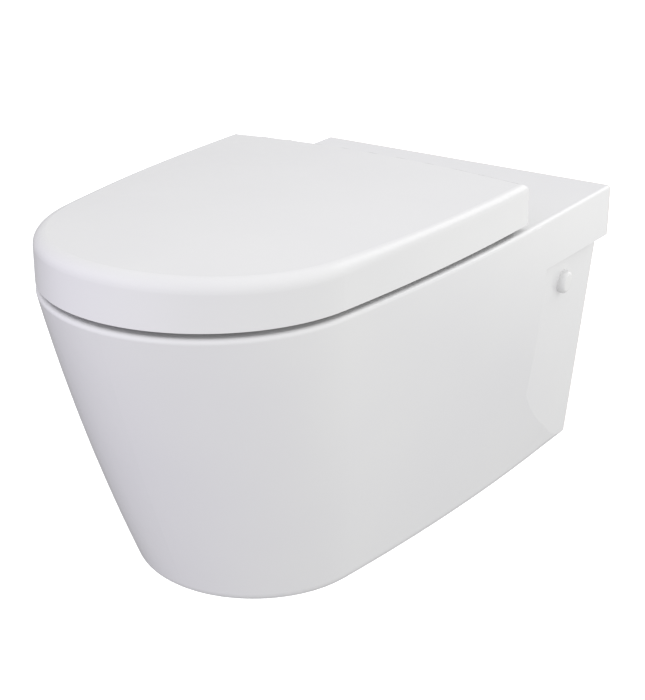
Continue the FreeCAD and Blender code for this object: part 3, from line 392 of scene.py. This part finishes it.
joint_axes = {joint["name"]: Vector(joint["axis"]) for joint in frame["joints"]}
backward = Matrix.Rotation(-math.pi / 2, 4, "X")
nuts = bmesh.new()
plugs = bmesh.new()
for label, side in SIDES:
    upright = Matrix.Translation((side * HINGE_X, HINGE_Y, 0.0))
    stud = bmesh.new()
    turned(stud, STUD_ROWS, upright)
    detailed("threaded_stud_" + label, "hinge_stud_" + label, STEEL, stud)
    turned(nuts, NUT_ROWS, upright)
    turned(plugs, PLUG_ROWS, upright)
    button = bmesh.new()
    turned(button, BUTTON_ROWS, Matrix.Translation((side * HINGE_X, BUTTON_Y, BUTTON_Z)) @ backward)
    detailed("dished_button_" + label, "release_button_" + label, CHROME, button)
    outward = joint_axes["cap_pull_" + label].to_track_quat("Z", "Y").to_matrix().to_4x4()
    seat = Matrix.Translation((side * CLAMP_SEAT.x, CLAMP_SEAT.y, CLAMP_SEAT.z))
    screw = bmesh.new()
    turned(screw, CLAMP_ROWS, seat @ outward)
    detailed("socket_screw_" + label, "clamp_screw_" + label, STEEL, screw)
detailed("bevelled_nuts", "plug_nuts", BRASS, nuts)
detailed("ribbed_plugs", "expansion_plugs", PLUG, plugs)


# The lid, with a fuller round along its front edge than the plain solid has

LID_TOP = 0.1358
CROWN_RADIUS = 2.778
EDGE_RADIUS = 0.008
FRONT_RADIUS = 0.013
FRONT_FADE = (-0.36, -0.58)
ROUND_MARGIN = 0.0006
ROUND_TOLERANCE = 0.0005
PLAN_DIGITS = 6


def nearest_edge(point, outline):
    """Vector from a point in plan to the nearest place on a closed outline."""
    best = None
    for start, end in zip(outline, outline[1:] + outline[:1]):
        along = end - start
        share = min(max((point - start).dot(along) / along.length_squared, 0.0), 1.0)
        reach = start + along * share - point
        if best is None or reach.length < best.length:
            best = reach
    return best


def softened_lid():
    """Copy of the lid's mesh whose top edge gets rounder towards the front, with the same shading normals."""
    mesh = nodes["lid"].data.copy()
    mesh.name = "softened_lid"
    normals = [corner.vector.copy() for corner in mesh.corner_normals]
    plan = [Vector(place) for place in {vertex.co.xy.to_tuple(PLAN_DIGITS) for vertex in mesh.vertices}]
    outline = [plan[i] for i in convex_hull_2d(plan)]
    for vertex in mesh.vertices:
        x, y, z = vertex.co
        outward = nearest_edge(vertex.co.xy, outline)
        across = EDGE_RADIUS - outward.length
        crown = LID_TOP - CROWN_RADIUS + math.sqrt(CROWN_RADIUS ** 2 - x ** 2)
        rise = EDGE_RADIUS - (crown - z)
        off_round = abs(math.hypot(across, rise) - EDGE_RADIUS)
        if min(across, rise) < -ROUND_MARGIN or off_round > ROUND_TOLERANCE:
            continue
        share = min(max((y - FRONT_FADE[0]) / (FRONT_FADE[1] - FRONT_FADE[0]), 0.0), 1.0)
        growth = (FRONT_RADIUS - EDGE_RADIUS) * share * share * (3.0 - 2.0 * share)
        angle = math.atan2(rise, across)
        inward = outward.normalized() * growth * (1.0 - math.cos(angle))
        vertex.co = (x - inward.x, y - inward.y, z - growth * (1.0 - math.sin(angle)))
    mesh.normals_split_custom_set(normals)
    piece = bpy.data.objects.new("softened_lid", mesh)
    scene.collection.objects.link(piece)
    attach(piece, nodes["lid"]["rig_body"])
    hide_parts("lid")


softened_lid()


# Stage

FLOOR_LEVEL, FLOOR_SIZE = -0.9, 160.0
FLOOR_GLOW = 0.35
WHITE = (1.0, 1.0, 1.0, 1.0)
UP = (0.0, 0.0, 1.0)

# The room's white light at the horizon, and how it grows along each axis
ROOM_LEVEL = 0.68
ROOM_SLOPE = (0.296, 0.0, 0.337)

# Each soft light: axis, colour, strength, where along the axis it begins and is full,
# and the heights at which it fades in from below and out above
ALL_HEIGHTS = (-1.1, -1.0), (1.1, 1.0)
SOFT_LIGHTS = [
    ((0.30, 0.87, 0.42), (1.0, 1.0, 0.99), 1.40, (0.90, 0.985), *ALL_HEIGHTS),
    ((0.36, 0.90, -0.25), (1.0, 1.0, 0.96), 0.60, (0.86, 0.97), (-0.50, -0.30), (0.05, -0.12)),
    ((-0.60, -0.80, 0.10), (1.0, 0.94, 1.20), 0.56, (0.40, 1.0), *ALL_HEIGHTS),
]


def pale_floor():
    """Floor that the camera sees, but that takes no part in the light on the object."""
    mesh = bpy.data.meshes.new("floor")
    form = bmesh.new()
    bmesh.ops.create_grid(form, x_segments=1, y_segments=1, size=FLOOR_SIZE / 2)
    form.to_mesh(mesh)
    form.free()
    floor = bpy.data.objects.new("floor", mesh)
    floor.location.z = FLOOR_LEVEL
    floor.visible_diffuse = False
    floor.visible_glossy = False
    floor.visible_shadow = False
    scene.collection.objects.link(floor)
    paper = finish("pale_floor", (0.90, 0.90, 0.90), (0.92, 0.92, 0.92), roughness=(0.85, 0.95),
                   colour_scale=2.0, grain_scale=30.0, grain_depth=0.00005)
    sockets = paper.node_tree.nodes["Principled BSDF"].inputs
    sockets["Emission Color"].default_value = WHITE
    sockets["Emission Strength"].default_value = FLOOR_GLOW
    mesh.materials.append(paper)


def facing(tree, direction, axis):
    """How far a direction points along an axis."""
    node = add(tree, "VectorMath", operation="DOT_PRODUCT")
    tree.links.new(direction, node.inputs[0])
    node.inputs[1].default_value = axis
    return node.outputs["Value"]


def studio_world():
    """White room, brighter overhead and to the right, with soft lights behind the part and front left."""
    world = bpy.data.worlds.new("studio")
    world.use_nodes = True
    tree = world.node_tree
    direction = add(tree, "TexCoord").outputs["Generated"]
    room = tree.nodes["Background"]
    room.inputs["Color"].default_value = WHITE
    slope = math_node(tree, "ADD", facing(tree, direction, ROOM_SLOPE), ROOM_LEVEL)
    tree.links.new(slope, room.inputs["Strength"])
    total = room.outputs[0]
    upward = facing(tree, direction, UP)
    for axis, colour, level, edge, foot, head in SOFT_LIGHTS:
        light = add(tree, "Background")
        light.inputs["Color"].default_value = (*colour, 1.0)
        strength = fade_in(tree, facing(tree, direction, Vector(axis).normalized()), edge, level)
        for ends in (foot, head):
            strength = math_node(tree, "MULTIPLY", strength, fade_in(tree, upward, ends))
        tree.links.new(strength, light.inputs["Strength"])
        joined = add(tree, "AddShader")
        tree.links.new(total, joined.inputs[0])
        tree.links.new(light.outputs[0], joined.inputs[1])
        total = joined.outputs[0]
    tree.links.new(total, tree.nodes["World Output"].inputs["Surface"])
    scene.world = world


pale_floor()
studio_world()

AIM = Vector((-0.0140, -0.2777, -0.0721))
AZIMUTH = math.radians(33.72)
ELEVATION = math.radians(22.23)
DISTANCE = 1.8156
LENS = 85.3
SENSOR_WIDTH = 36.0

camera = bpy.data.objects.new("camera", bpy.data.cameras.new("camera"))
back = Vector((math.sin(AZIMUTH) * math.cos(ELEVATION), -math.cos(AZIMUTH) * math.cos(ELEVATION),
               math.sin(ELEVATION)))
camera.location = AIM + back * DISTANCE
camera.rotation_euler = (-back).to_track_quat("-Z", "Y").to_euler()
camera.data.lens = LENS
camera.data.sensor_width = SENSOR_WIDTH
scene.collection.objects.link(camera)
scene.camera = camera
scene.view_settings.view_transform = "Standard"
